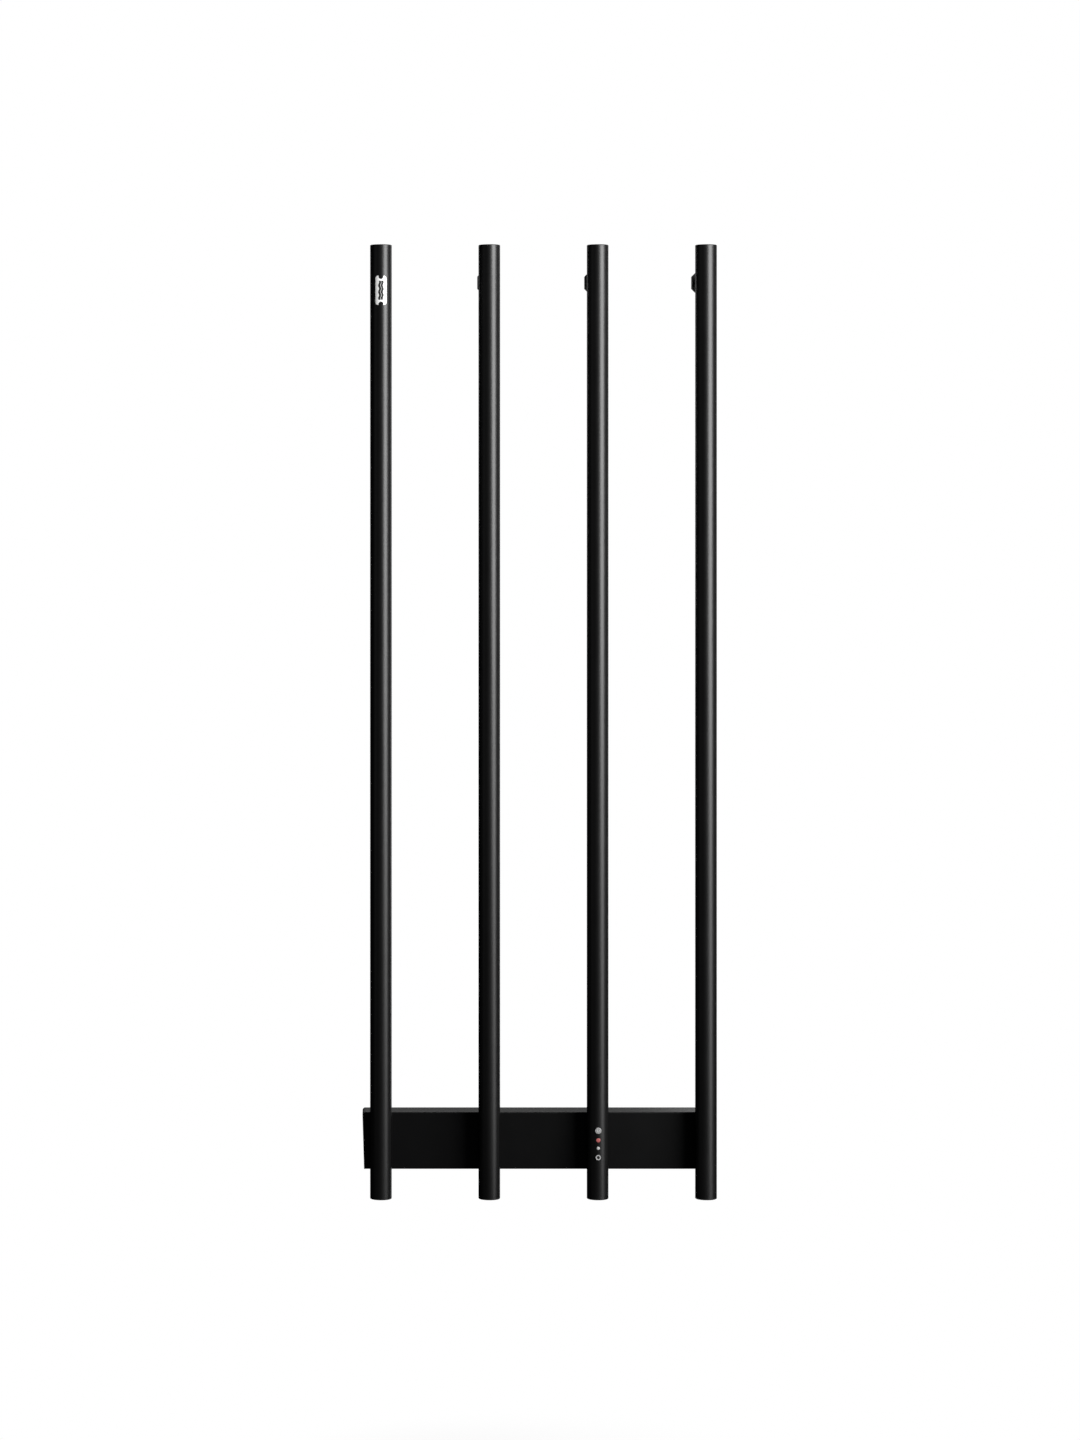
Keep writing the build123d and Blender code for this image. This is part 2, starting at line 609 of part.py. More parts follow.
with BuildPart() as power_board:
    box_from((-PCB_HALF_WIDTH, PCB_HALF_WIDTH), (-PCB_FRONT, -PCB_OUT), (-PCB_HALF_HEIGHT, PCB_HALF_HEIGHT))
    with BuildSketch(wall_plane(PCB_OUT)):
        with GridLocations(SPACER_SPACING_X, SPACER_SPACING_Z, 2, 2):
            Circle(SPACER_TIP_R + 2 * RUNNING_FIT)
    extrude(amount=BOARD_THICKNESS, mode=Mode.SUBTRACT)
save(power_board, "power_board")

with BuildPart() as board_spacers:
    with BuildSketch(wall_plane(PLATE_THICKNESS)):
        with GridLocations(SPACER_SPACING_X, SPACER_SPACING_Z, 2, 2):
            Circle(SPACER_R)
    extrude(amount=PCB_OUT - PLATE_THICKNESS)
    with BuildSketch(wall_plane(PCB_OUT)):
        with GridLocations(SPACER_SPACING_X, SPACER_SPACING_Z, 2, 2):
            Circle(SPACER_TIP_R)
    extrude(amount=BOARD_THICKNESS + SPACER_TIP)
save(board_spacers, "board_spacers")

with BuildPart() as board_terminals:
    for side, edges, wire_holes in TERMINALS:
        outer = side * TERMINAL_X
        terminal_x = sorted((outer, outer - side * TERMINAL_DEPTH))
        box_from(terminal_x, (-PCB_FRONT - TERMINAL_DEPTH, -PCB_FRONT), edges)
        for out, z, r in wire_holes:
            with BuildSketch(Plane.YZ.offset(outer)):
                with Locations((-out, z)):
                    Circle(r + LOOSE_FIT)
            extrude(amount=-side * WIRE_HOLE_DEPTH, mode=Mode.SUBTRACT)
save(board_terminals, "board_terminals")

with BuildPart() as relay:
    box_from(RELAY_X, (-PCB_FRONT - RELAY_HEIGHT, -PCB_FRONT), RELAY_Z)
    fillet(relay.edges().filter_by(Axis.Y), PART_CORNER)
save(relay, "relay")

with BuildPart() as power_module:
    box_from(MODULE_X, (-PCB_FRONT - MODULE_HEIGHT, -PCB_FRONT), MODULE_Z)
    fillet(power_module.edges().filter_by(Axis.Y), PART_CORNER)
save(power_module, "power_module")

with BuildPart() as fuse:
    # a glass tube with a metal ferrule at each end
    fuse_start, fuse_end = FUSE_X
    stretches = [
        (fuse_start, fuse_end - fuse_start, FUSE_R),
        (fuse_start, FUSE_FERRULE, FUSE_FERRULE_R),
        (fuse_end - FUSE_FERRULE, FUSE_FERRULE, FUSE_FERRULE_R),
    ]
    for start, length, r in stretches:
        with BuildSketch(Plane.YZ.offset(start)):
            with Locations((-PCB_FRONT - FUSE_FERRULE_R - RUNNING_FIT, FUSE_Z)):
                Circle(r)
        extrude(amount=length)
save(fuse, "fuse")

# ---- Leads ----

with BuildPart() as heater_leads:
    # down each tube, through its stud, and along the housing to the board; the control tube's stud
    # carries the control lead as well
    lead_ends = [(-1, LOWER_LEAD_Z), (-1, UPPER_LEAD_Z), (1, UPPER_LEAD_Z), (1, LOWER_LEAD_Z)]
    for x, (side, end_z) in zip(LEAD_X, lead_ends):
        lead(
            [
                (x, -LEAD_OUT, CUTOUT_LOW + LEAD_SOCKET - LOOSE_FIT),
                (x, -LEAD_OUT, 0),
                (x, -LEAD_RUN_OUT, 0),
                (x - side * LEAD_SLANT, -LEAD_RUN_OUT, end_z),
                (side * WIRE_END_X, -LEAD_RUN_OUT, end_z),
            ],
            [LEAD_BEND, LEAD_BEND, LEAD_WIDE_BEND],
            LEAD_R,
        )
save(heater_leads, "heater_leads")

with BuildPart() as control_lead:
    x = CONTROL_X + LEAD_PAIR
    lead(
        [
            (x, -LEAD_OUT, PLUG_TOP),
            (x, -LEAD_OUT, 0),
            (x, -LEAD_RUN_OUT, 0),
            (x - LEAD_SLANT, -LEAD_RUN_OUT, CONTROL_LEAD_Z),
            (WIRE_END_X, -LEAD_RUN_OUT, CONTROL_LEAD_Z),
        ],
        [LEAD_BEND, LEAD_BEND, LEAD_WIDE_BEND],
        LEAD_R,
    )
save(control_lead, "control_lead")

with BuildPart() as supply_leads:
    # live and neutral, from their poles to the board
    lead_start = POLE_SCREW_X[1] - LEAD_PAST_SCREW
    for z in POLE_Z[1:]:
        lead(
            [
                (lead_start, -BLOCK_WIRE_OUT, z),
                (BLOCK_RIGHT + LEAD_WIDE_BEND, -BLOCK_WIRE_OUT, z),
                (BLOCK_RIGHT + 2 * LEAD_WIDE_BEND, -SUPPLY_RUN_OUT, z),
                (-WIRE_END_X, -SUPPLY_RUN_OUT, z),
            ],
            LEAD_WIDE_BEND,
            SUPPLY_R,
        )
    # earth, from its pole to the screw in the wall plate
    earth_out = EARTH_SHANK_OUT - SUPPLY_R - LOOSE_FIT
    lead(
        [
            (lead_start, -BLOCK_WIRE_OUT, POLE_Z[0]),
            (EARTH_X, -BLOCK_WIRE_OUT, POLE_Z[0]),
            (EARTH_X, -earth_out, POLE_Z[0] - 2 * LEAD_BEND),
            (EARTH_X, -earth_out, EARTH_Z + M3_R + LOOSE_FIT),
        ],
        [LEAD_BEND, LEAD_BEND],
        SUPPLY_R,
    )
save(supply_leads, "supply_leads")

with BuildPart() as thermal_cutouts:
    for x, lead_x in zip(TUBE_X, LEAD_X):
        with BuildSketch(Plane.XY.offset(CUTOUT_LOW)):
            with Locations((x, -TUBE_OUT)):
                RectangleRounded(CUTOUT_WIDTH, CUTOUT_DEPTH, CUTOUT_CORNER)
        extrude(amount=CUTOUT_HIGH - CUTOUT_LOW)
        with BuildSketch(Plane.XY.offset(CUTOUT_LOW)):
            with Locations((lead_x, -LEAD_OUT)):
                Circle(LEAD_R + RUNNING_FIT)
        extrude(amount=LEAD_SOCKET, mode=Mode.SUBTRACT)
        with BuildSketch(Plane.XY.offset(CUTOUT_HIGH)):
            with Locations((x - LEG_OFFSET, -TUBE_OUT), (x + LEG_OFFSET, -TUBE_OUT)):
                Circle(LEG_R + RUNNING_FIT)
        extrude(amount=-CUTOUT_SOCKET, mode=Mode.SUBTRACT)
save(thermal_cutouts, "thermal_cutouts")

# ---- Controls in the third tube ----

with BuildPart() as control_carrier:
    # a moulding that fills the front of the tube's bore
    with BuildSketch(Plane.XY.offset(CARRIER_LOW)):
        with Locations((CONTROL_X, -TUBE_OUT)):
            Circle(SPIGOT_R)
        with Locations((CONTROL_X, -BOARD_FRONT + TUBE_R)):
            Rectangle(TUBE_D, TUBE_D, mode=Mode.SUBTRACT)
    extrude(amount=CARRIER_HIGH - CARRIER_LOW)
    with BuildSketch(wall_plane(BOARD_FRONT)):
        with Locations(*BUTTON_PLACES):
            Circle(BUTTON_FLANGE_R + 2 * RUNNING_FIT)
        for _, z, r in LIGHTS:
            with Locations((CONTROL_X, z)):
                Circle(r + RUNNING_FIT)
    extrude(amount=TUBE_R, mode=Mode.SUBTRACT)
    with BuildSketch(wall_plane(BOARD_FRONT)):
        for _, z, r in LIGHTS:
            with Locations((CONTROL_X, z)):
                Circle(r + LIGHT_FLANGE_STEP + RUNNING_FIT)
    extrude(amount=LIGHT_FLANGE + RUNNING_FIT, mode=Mode.SUBTRACT)
    # pins that hold the control board
    with BuildSketch(wall_plane(BOARD_FRONT - BOARD_THICKNESS - PIN_HEAD)):
        with Locations(*PIN_PLACES):
            Circle(PIN_R)
    extrude(amount=BOARD_THICKNESS + 2 * PIN_HEAD)
save(control_carrier, "control_carrier")

with BuildPart() as control_board:
    board_rear = -BOARD_FRONT + BOARD_THICKNESS
    board_x = (CONTROL_X - BOARD_WIDTH / 2, CONTROL_X + BOARD_WIDTH / 2)
    box_from(board_x, (-BOARD_FRONT, board_rear), (CARRIER_LOW, CARRIER_HIGH))
    with BuildSketch(wall_plane(BOARD_FRONT - BOARD_THICKNESS)):
        with Locations(*PIN_PLACES):
            Circle(PIN_R + RUNNING_FIT)
    extrude(amount=BOARD_THICKNESS, mode=Mode.SUBTRACT)
    # the plug for the control lead, on the rear
    box_from((CONTROL_X, CONTROL_X + 2 * LEAD_PAIR), (board_rear, board_rear + PLUG_DEPTH),
             (PLUG_TOP - PLUG_HEIGHT, PLUG_TOP))
save(control_board, "control_board")

with BuildPart() as tact_switches:
    with BuildSketch(wall_plane(BOARD_FRONT)):
        with Locations(*BUTTON_PLACES):
            Rectangle(SWITCH_SIDE, SWITCH_SIDE)
    extrude(amount=SWITCH_FRONT - BOARD_FRONT)
    with BuildSketch(wall_plane(SWITCH_FRONT)):
        with Locations(*BUTTON_PLACES):
            Circle(STEM_R + 2 * RUNNING_FIT)
    extrude(amount=-SWITCH_WELL, mode=Mode.SUBTRACT)
save(tact_switches, "tact_switches")

for name, place in zip(("timer_button", "power_button"), BUTTON_PLACES):
    with BuildPart() as button:
        flange_back = BUTTON_FLANGE_FRONT - BUTTON_FLANGE
        with BuildSketch(wall_plane(flange_back)):
            with Locations(place):
                Circle(BUTTON_R)
        extrude(amount=BUTTON_FRONT - flange_back)
        fillet(button.edges().filter_by(GeomType.CIRCLE).sort_by(Axis.Y)[0], BUTTON_EDGE)
        with BuildSketch(wall_plane(flange_back)):
            with Locations(place):
                Circle(BUTTON_FLANGE_R)
        extrude(amount=BUTTON_FLANGE)
        # the stem that works the switch
        with BuildSketch(wall_plane(SWITCH_FRONT - STEM_REACH)):
            with Locations(place):
                Circle(STEM_R)
        extrude(amount=flange_back - SWITCH_FRONT + STEM_REACH)
    save(button, name)

for name, z, r in LIGHTS:
    with BuildPart() as indicator:
        with BuildSketch(wall_plane(BOARD_FRONT)):
            with Locations((CONTROL_X, z)):
                Circle(r)
        extrude(amount=TUBE_OUT + TUBE_R + LIGHT_PROUD - BOARD_FRONT)
        fillet(indicator.edges().filter_by(GeomType.CIRCLE).sort_by(Axis.Y)[0], LIGHT_EDGE)
        with BuildSketch(wall_plane(BOARD_FRONT)):
            with Locations((CONTROL_X, z)):
                Circle(r + LIGHT_FLANGE_STEP)
        extrude(amount=LIGHT_FLANGE)
    save(indicator, name)
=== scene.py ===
"""Looks for a wall-mounted heated drying rail: finishes, small marks and lenses, and a studio stage."""

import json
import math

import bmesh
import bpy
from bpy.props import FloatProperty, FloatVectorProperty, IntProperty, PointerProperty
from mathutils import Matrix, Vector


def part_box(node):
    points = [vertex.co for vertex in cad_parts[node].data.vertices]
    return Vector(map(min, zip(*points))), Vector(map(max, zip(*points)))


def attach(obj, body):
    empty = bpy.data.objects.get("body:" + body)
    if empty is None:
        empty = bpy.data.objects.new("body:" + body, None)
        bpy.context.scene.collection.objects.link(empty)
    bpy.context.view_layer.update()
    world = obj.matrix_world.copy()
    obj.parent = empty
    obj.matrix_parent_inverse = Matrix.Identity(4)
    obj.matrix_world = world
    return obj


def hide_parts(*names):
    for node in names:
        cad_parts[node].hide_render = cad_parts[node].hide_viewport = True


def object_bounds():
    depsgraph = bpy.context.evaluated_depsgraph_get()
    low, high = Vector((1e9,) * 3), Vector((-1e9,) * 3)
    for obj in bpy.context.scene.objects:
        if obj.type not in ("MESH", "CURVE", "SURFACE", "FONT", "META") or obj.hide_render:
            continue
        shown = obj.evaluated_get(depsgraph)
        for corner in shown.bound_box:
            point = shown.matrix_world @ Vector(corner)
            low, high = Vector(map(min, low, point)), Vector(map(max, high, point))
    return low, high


bl_info = {
    "name": "Heated drying rail looks",
    "version": (1, 0, 0),
    "blender": (4, 5, 0),
    "location": "View3D > Sidebar > Drying Rail",
    "description": "Gives the drying rail its powder coat, marks, lenses and studio stage",
    "category": "Object",
}

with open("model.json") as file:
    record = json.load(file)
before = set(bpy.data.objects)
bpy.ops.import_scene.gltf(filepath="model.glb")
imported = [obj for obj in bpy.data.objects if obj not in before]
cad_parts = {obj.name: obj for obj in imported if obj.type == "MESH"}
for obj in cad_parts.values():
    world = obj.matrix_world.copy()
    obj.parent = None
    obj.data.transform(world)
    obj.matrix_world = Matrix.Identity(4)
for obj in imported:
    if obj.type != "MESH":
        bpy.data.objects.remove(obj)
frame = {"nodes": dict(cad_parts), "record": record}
CAD_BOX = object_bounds()

NODES = frame["nodes"]
SLOT_OF = {part["node"]: part["material_slot"] for part in frame["record"]["subparts"]}
MM = 0.001
SHARP_ANGLE = math.radians(38)
# Where a rough skin's sheen starts to fade and is faded: 0 is seen head-on, 1 edge-on
FADE_START = 0.45
FADE_END = 0.75


def middle(node):
    """The centre of a CAD node's box."""
    low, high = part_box(node)
    return (low + high) / 2


# Where things are, read from the frame
RAIL_LOW = Vector(CAD_BOX[0])
CONTROL_TUBE = middle("tube_3")
PLATE_TUBE = middle("tube_1")
TUBE_RADIUS = (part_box("tube_1")[1].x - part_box("tube_1")[0].x) / 2
PLATE_RADIUS = PLATE_TUBE.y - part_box("name_plate")[0].y


# Domed indicator lens
LENS_LEDGE = 0.5 * MM
LENS_RISE = 0.45 * MM
LENS_SKIRT = 1.5 * MM
LENS_CHAMFER = 0.1 * MM
LENS_STEPS = 10

# Clock dial: each hand's direction in degrees and its length as a share of the dial's radius
DIAL_HANDS = ((0, 0.62), (120, 0.48))

# Rounds and round segments
ROUND_STEPS = 64
WAVE_STEPS = 48
WAVE_WIDTH_STEPS = 6

# Studio
FLOOR_HALF_WIDTH = 14.0
FLOOR_GREY = (0.85, 0.85, 0.85, 1)
FLOOR_FADE_START = 0.05
FLOOR_FADE_END = 0.4
FLOOR_WHITE_NEAR = 0.6
WHITE = (1, 1, 1, 1)
DIM_SURROUND = (0.012, 0.012, 0.013, 1)
SENSOR_WIDTH = 36.0
FAR_CLIP = 60.0


# ---- Settings ----


class RailCoatSettings(bpy.types.PropertyGroup):
    """The black powder coat on the tubes, the housing and the feet, and the end caps' black plastic."""

    colour: FloatVectorProperty(
        name="Coat colour",
        description="Colour of the powder coat",
        subtype="COLOR",
        size=3,
        min=0.0,
        max=1.0,
        default=(0.0025, 0.0025, 0.0026),
    )
    edge_sheen: FloatProperty(
        name="Edge sheen",
        description="How much of a smooth surface's sheen the rough coat keeps at a glancing angle",
        subtype="FACTOR",
        min=0.0,
        max=1.0,
        default=0.2,
    )
    roughness: FloatProperty(
        name="Roughness",
        description="How matte the coat is",
        subtype="FACTOR",
        min=0.0,
        max=1.0,
        default=0.37,
    )
    grain: FloatProperty(
        name="Grain size",
        description="Width of one bump of the coat's fine texture",
        unit="LENGTH",
        default=0.7 * MM,
    )
    relief: FloatProperty(
        name="Grain relief",
        description="Height of the coat's fine texture",
        unit="LENGTH",
        default=0.008 * MM,
    )


class RailMarkSettings(bpy.types.PropertyGroup):
    """The printed marks on the buttons and on the name plate."""

    ink_thickness: FloatProperty(
        name="Ink thickness",
        description="How far a printed mark stands proud",
        unit="LENGTH",
        default=0.04 * MM,
    )
    ring_outer: FloatProperty(
        name="Ring outer radius",
        description="Outer radius of the ring on the power button",
        unit="LENGTH",
        default=2.95 * MM,
    )
    ring_inner: FloatProperty(
        name="Ring inner radius",
        description="Inner radius of the ring on the power button",
        unit="LENGTH",
        default=1.8 * MM,
    )
    dial_radius: FloatProperty(
        name="Dial radius",
        description="Radius of the clock dial on the timer button",
        unit="LENGTH",
        default=2.5 * MM,
    )
    line: FloatProperty(
        name="Line width",
        description="Width of the thin printed lines",
        unit="LENGTH",
        default=0.4 * MM,
    )
    wave_count: IntProperty(
        name="Heat waves",
        description="How many heat waves the name plate shows",
        default=2,
        min=1,
        max=6,
    )
    wave_height: FloatProperty(
        name="Wave height",
        description="Height of the heat waves on the name plate",
        unit="LENGTH",
        default=22.0 * MM,
    )
    wave_line: FloatProperty(
        name="Wave line width",
        description="Width of one heat wave's line",
        unit="LENGTH",
        default=2.5 * MM,
    )
    wave_spacing: FloatProperty(
        name="Wave spacing",
        description="From one heat wave to the next",
        unit="LENGTH",
        default=2.9 * MM,
    )
    wave_swing: FloatProperty(
        name="Wave swing",
        description="How far a heat wave swings to each side",
        unit="LENGTH",
        default=0.5 * MM,
    )
    wave_turns: FloatProperty(
        name="Wave turns",
        description="How many full swings a heat wave makes",
        default=3.0,
    )


class RailStageSettings(bpy.types.PropertyGroup):
    """The camera, the lights and the floor."""

    eye_distance: FloatProperty(
        name="Camera distance",
        description="From the camera to the plane of the tubes' axes",
        unit="LENGTH",
        default=4.2,
    )
    eye_side: FloatProperty(
        name="Camera side",
        description="Camera position along the wall, from the rail's middle",
        unit="LENGTH",
        default=-0.188,
    )
    eye_height: FloatProperty(
        name="Camera height",
        description="Camera height above the housing's middle",
        unit="LENGTH",
        default=0.700,
    )
    picture_height: FloatProperty(
        name="Picture height",
        description="Height that the picture covers at the plane of the tubes' axes",
        unit="LENGTH",
        default=1.6613,
    )
    picture_middle: FloatVectorProperty(
        name="Picture middle",
        description="X and Z of the picture's middle at the plane of the tubes' axes",
        unit="LENGTH",
        size=2,
        default=(-0.004, 0.4885),
    )
    floor_drop: FloatProperty(
        name="Floor drop",
        description="From the bottom of the tubes down to the floor",
        unit="LENGTH",
        default=0.35,
    )
    key_radiance: FloatProperty(
        name="Key light",
        description="Brightness of the tall softbox on the right",
        default=11.8,
    )
    low_radiance: FloatProperty(
        name="Low light",
        description="Brightness of the small softbox under the key light",
        default=2.8,
    )
    fill_radiance: FloatProperty(
        name="Fill light",
        description="Brightness of the dim softbox on the left",
        default=0.14,
    )
    rear_radiance: FloatProperty(
        name="Rear light",
        description="Brightness of the softbox behind the rail, on the right",
        default=1.2,
    )
    rim_radiance: FloatProperty(
        name="Rim light",
        description="Brightness of the low softbox behind the rail",
        default=4.0,
    )
    back_radiance: FloatProperty(
        name="Back light",
        description="Brightness of the panel above and behind the rail",
        default=2.0,
    )


class RailLooks(bpy.types.PropertyGroup):
    """Everything that can be set on the rail's looks."""

    coat: PointerProperty(type=RailCoatSettings)
    marks: PointerProperty(type=RailMarkSettings)
    stage: PointerProperty(type=RailStageSettings)


# ---- Shader maths ----


class Wire:
    """A node's output. Arithmetic on it adds Math nodes."""

    def __init__(self, finish, socket):
        self.finish = finish
        self.socket = socket

    def _math(self, operation, *values):
        return self.finish.node("ShaderNodeMath", {"operation": operation}, dict(enumerate(values)))

    def __add__(self, other):
        return self._math("ADD", self, other)

    def __radd__(self, other):
        return self._math("ADD", other, self)

    def __sub__(self, other):
        return self._math("SUBTRACT", self, other)

    def __rsub__(self, other):
        return self._math("SUBTRACT", other, self)

    def __mul__(self, other):
        return self._math("MULTIPLY", self, other)

    def __rmul__(self, other):
        return self._math("MULTIPLY", other, self)


class Finish:
    """A material under construction."""

    def __init__(self, name):
        self.material = bpy.data.materials.new(name)
        self.material.use_nodes = True
        self.tree = self.material.node_tree
        self.tree.nodes.clear()

    def node(self, kind, settings=None, sockets=None, output=0):
        """Adds a node: its settings first, then the values or links of its sockets. Returns one output."""
        made = self.tree.nodes.new(kind)
        for key, value in (settings or {}).items():
            setattr(made, key, value)
        for key, value in (sockets or {}).items():
            if isinstance(value, Wire):
                self.tree.links.new(value.socket, made.inputs[key])
            else:
                made.inputs[key].default_value = value
        return Wire(self, made.outputs[output]) if made.outputs else None

    def place(self):
        """The point on the surface, in metres."""
        return self.node("ShaderNodeTexCoord", output="Object")

    def axis(self, letter):
        """One coordinate of the point on the surface, in metres."""
        return self.node("ShaderNodeSeparateXYZ", sockets={0: self.place()}, output=letter)

    def noise(self, size, detail=2.0, stretch=(1, 1, 1)):
        """Noise from 0 to 1 whose features are about this size, in metres."""
        spot = self.node("ShaderNodeMapping", sockets={"Vector": self.place(), "Scale": stretch})
        return self.node("ShaderNodeTexNoise", sockets={"Vector": spot, "Scale": 1 / size, "Detail": detail})

    def speckle(self, size, stretch=(1, 1, 1)):
        """Distance to the middle of the nearest cell of about this size."""
        spot = self.node("ShaderNodeMapping", sockets={"Vector": self.place(), "Scale": stretch})
        return self.node("ShaderNodeTexVoronoi", sockets={"Vector": spot, "Scale": 1 / size})

    def step(self, value, low, high):
        """0 below low, 1 above high, and smooth between."""
        limits = {"Value": value, "From Min": low, "From Max": high}
        return self.node("ShaderNodeMapRange", {"interpolation_type": "SMOOTHSTEP"}, limits)

    def blend(self, factor, one, other):
        """A colour between two."""
        mix = {"Factor": factor, 6: one, 7: other}
        return self.node("ShaderNodeMix", {"data_type": "RGBA"}, mix, output=2)

    def bump(self, height, distance, under=None):
        """A normal from a height of 0 to 1, scaled to a distance in metres."""
        sockets = {"Height": height, "Distance": distance, "Strength": 1.0}
        if under:
            sockets["Normal"] = under
        return self.node("ShaderNodeBump", sockets=sockets)

    def surface(self, edge_sheen=1.0, **sockets):
        """Finishes the material. Underscores in names are spaces.

        With edge_sheen below 1 the gloss fades towards a glancing angle, to the share that edge_sheen says.
        """
        named = {key.replace("_", " "): value for key, value in sockets.items()}
        shader = self.node("ShaderNodeBsdfPrincipled", sockets=named)
        if edge_sheen < 1:
            glance = self.node("ShaderNodeLayerWeight", sockets={"Blend": 0.5}, output="Facing")
            faded = self.step(glance, FADE_START, FADE_END) * (1 - edge_sheen)
            dull = self.node("ShaderNodeBsdfPrincipled", sockets={**named, "Specular IOR Level": 0.0})
            shader = self.node("ShaderNodeMixShader", sockets={"Fac": faded, 1: shader, 2: dull})
        self.node("ShaderNodeOutputMaterial", sockets={"Surface": shader})
        return self.material


def rgba(colour, gain=1.0):
    """A linear colour with alpha, brightened or dimmed by a gain."""
    return (*[channel * gain for channel in colour], 1.0)


# ---- Finishes ----


def powder_coat(name, coat, gloss_shift=0.0, gain=1.0):
    """Fine matte powder coat: a pebbled skin, with soft clouds in its gloss."""
    finish = Finish(name)
    pebbles = finish.noise(coat.grain, detail=3.0)
    clouds = finish.noise(45 * MM, detail=2.0)
    dust = finish.step(finish.noise(2.2 * MM, detail=4.0), 0.62, 0.80)
    tone = finish.blend(clouds, rgba(coat.colour, 0.85 * gain), rgba(coat.colour, 1.15 * gain))
    return finish.surface(
        edge_sheen=coat.edge_sheen,
        Base_Color=finish.blend(dust * 0.03, tone, rgba((0.10, 0.10, 0.10))),
        Roughness=coat.roughness + gloss_shift + (clouds - 0.5) * 0.05 + (pebbles - 0.5) * 0.08,
        Normal=finish.bump(pebbles, coat.relief),
    )


def moulded(name, colour, roughness=0.5, grain=0.35 * MM, relief=0.006 * MM, **fixed):
    """Injection-moulded plastic with a fine spark-eroded texture and slight flow marks."""
    finish = Finish(name)
    texture = finish.noise(grain, detail=2.0)
    flow = finish.noise(14 * MM, detail=2.0, stretch=(1, 1, 0.35))
    return finish.surface(
        Base_Color=finish.blend(flow, rgba(colour, 0.88), rgba(colour, 1.1)),
        Roughness=roughness + (texture - 0.5) * 0.12 + (flow - 0.5) * 0.06,
        Normal=finish.bump(texture, relief),
        **fixed,
    )


def anodised(name, colour):
    """Black anodised aluminium with faint turning lines."""
    finish = Finish(name)
    turning = finish.noise(0.25 * MM, detail=2.0, stretch=(0.05, 1, 0.05))
    clouds = finish.noise(12 * MM)
    return finish.surface(
        Base_Color=finish.blend(clouds, rgba(colour, 0.8), rgba(colour, 1.25)),
        Metallic=0.6,
        Roughness=0.38 + turning * 0.12,
        Normal=finish.bump(turning, 0.003 * MM),
    )


def plated(name, colour, roughness=0.32, spangle=9 * MM):
    """Plated or rolled metal: crystal patches, fine rolling lines and a few dull stains."""
    finish = Finish(name)
    patches = finish.speckle(spangle)
    rolling = finish.noise(0.5 * MM, detail=3.0, stretch=(0.03, 1, 1))
    stain = finish.step(finish.noise(30 * MM, detail=4.0), 0.5, 0.75)
    tone = finish.blend(patches, rgba(colour, 0.82), rgba(colour, 1.08))
    return finish.surface(
        Base_Color=finish.blend(stain * 0.5, tone, rgba(colour, 0.6)),
        Metallic=1.0,
        Roughness=roughness + rolling * 0.14 + stain * 0.12,
        Normal=finish.bump(rolling, 0.004 * MM),
    )


def sheathed(name, colour, roughness=0.55):
    """Extruded silicone or plastic sheath with faint draw lines and talc."""
    finish = Finish(name)
    talc = finish.step(finish.noise(1.6 * MM, detail=4.0), 0.5, 0.8)
    draw = finish.noise(0.3 * MM, stretch=(1, 1, 0.1))
    return finish.surface(
        Base_Color=finish.blend(talc * 0.25, rgba(colour), rgba((0.6, 0.6, 0.6))),
        Roughness=roughness + (draw - 0.5) * 0.15,
        Normal=finish.bump(draw, 0.006 * MM),
    )


def enamel(name, colour):
    """Satin enamel on a thin plate, with a faint brushed ground under it."""
    finish = Finish(name)
    ground = finish.noise(0.3 * MM, stretch=(0.08, 1, 1))
    age = finish.noise(8 * MM, detail=3.0)
    return finish.surface(
        Base_Color=finish.blend(age, rgba(colour, 0.94), rgba(colour)),
        Roughness=0.3 + ground * 0.12,
        Normal=finish.bump(ground, 0.002 * MM),
    )


def lens(name, colour, glow):
    """A diffusing lens over a small lamp that is on."""
    finish = Finish(name)
    cells = finish.speckle(0.28 * MM)
    haze = finish.noise(1.2 * MM)
    return finish.surface(
        Base_Color=finish.blend(haze, rgba(colour, 0.8), rgba(colour)),
        Roughness=0.18 + cells * 0.2,
        Emission_Color=finish.blend(cells, rgba(colour), rgba(colour, 0.7)),
        Emission_Strength=glow,
        Normal=finish.bump(cells, 0.01 * MM),
    )


def circuit_board(name):
    """Green solder mask over copper tracks, on a woven glass ground."""
    finish = Finish(name)
    tracks = finish.step(finish.noise(3.5 * MM, detail=0.0, stretch=(0.4, 1, 1)), 0.52, 0.54)
    weave = finish.noise(0.5 * MM)
    mask = finish.blend(tracks, (0.008, 0.075, 0.028, 1), (0.02, 0.15, 0.055, 1))
    return finish.surface(
        Base_Color=finish.blend(weave * 0.3, mask, (0.004, 0.05, 0.02, 1)),
        Roughness=0.3 + weave * 0.2,
        Normal=finish.bump(tracks, 0.03 * MM, finish.bump(weave, 0.004 * MM)),
    )


def fuse_glass(name):
    """A glass fuse between two nickel ferrules, told apart by their place along the fuse."""
    finish = Finish(name)
    low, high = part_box("fuse")
    ferrule = 5 * MM
    along = finish.axis("X")
    left = 1 - finish.step(along, low.x + ferrule, low.x + ferrule + 0.1 * MM)
    right = finish.step(along, high.x - ferrule - 0.1 * MM, high.x - ferrule)
    metal = left + right
    scratch = finish.noise(0.6 * MM, detail=3.0)
    return finish.surface(
        Base_Color=finish.blend(metal, (0.75, 0.8, 0.8, 1), (0.62, 0.6, 0.55, 1)),
        Metallic=metal,
        Roughness=0.08 + metal * 0.2 + scratch * 0.08,
        Normal=finish.bump(scratch, 0.003 * MM),
    )


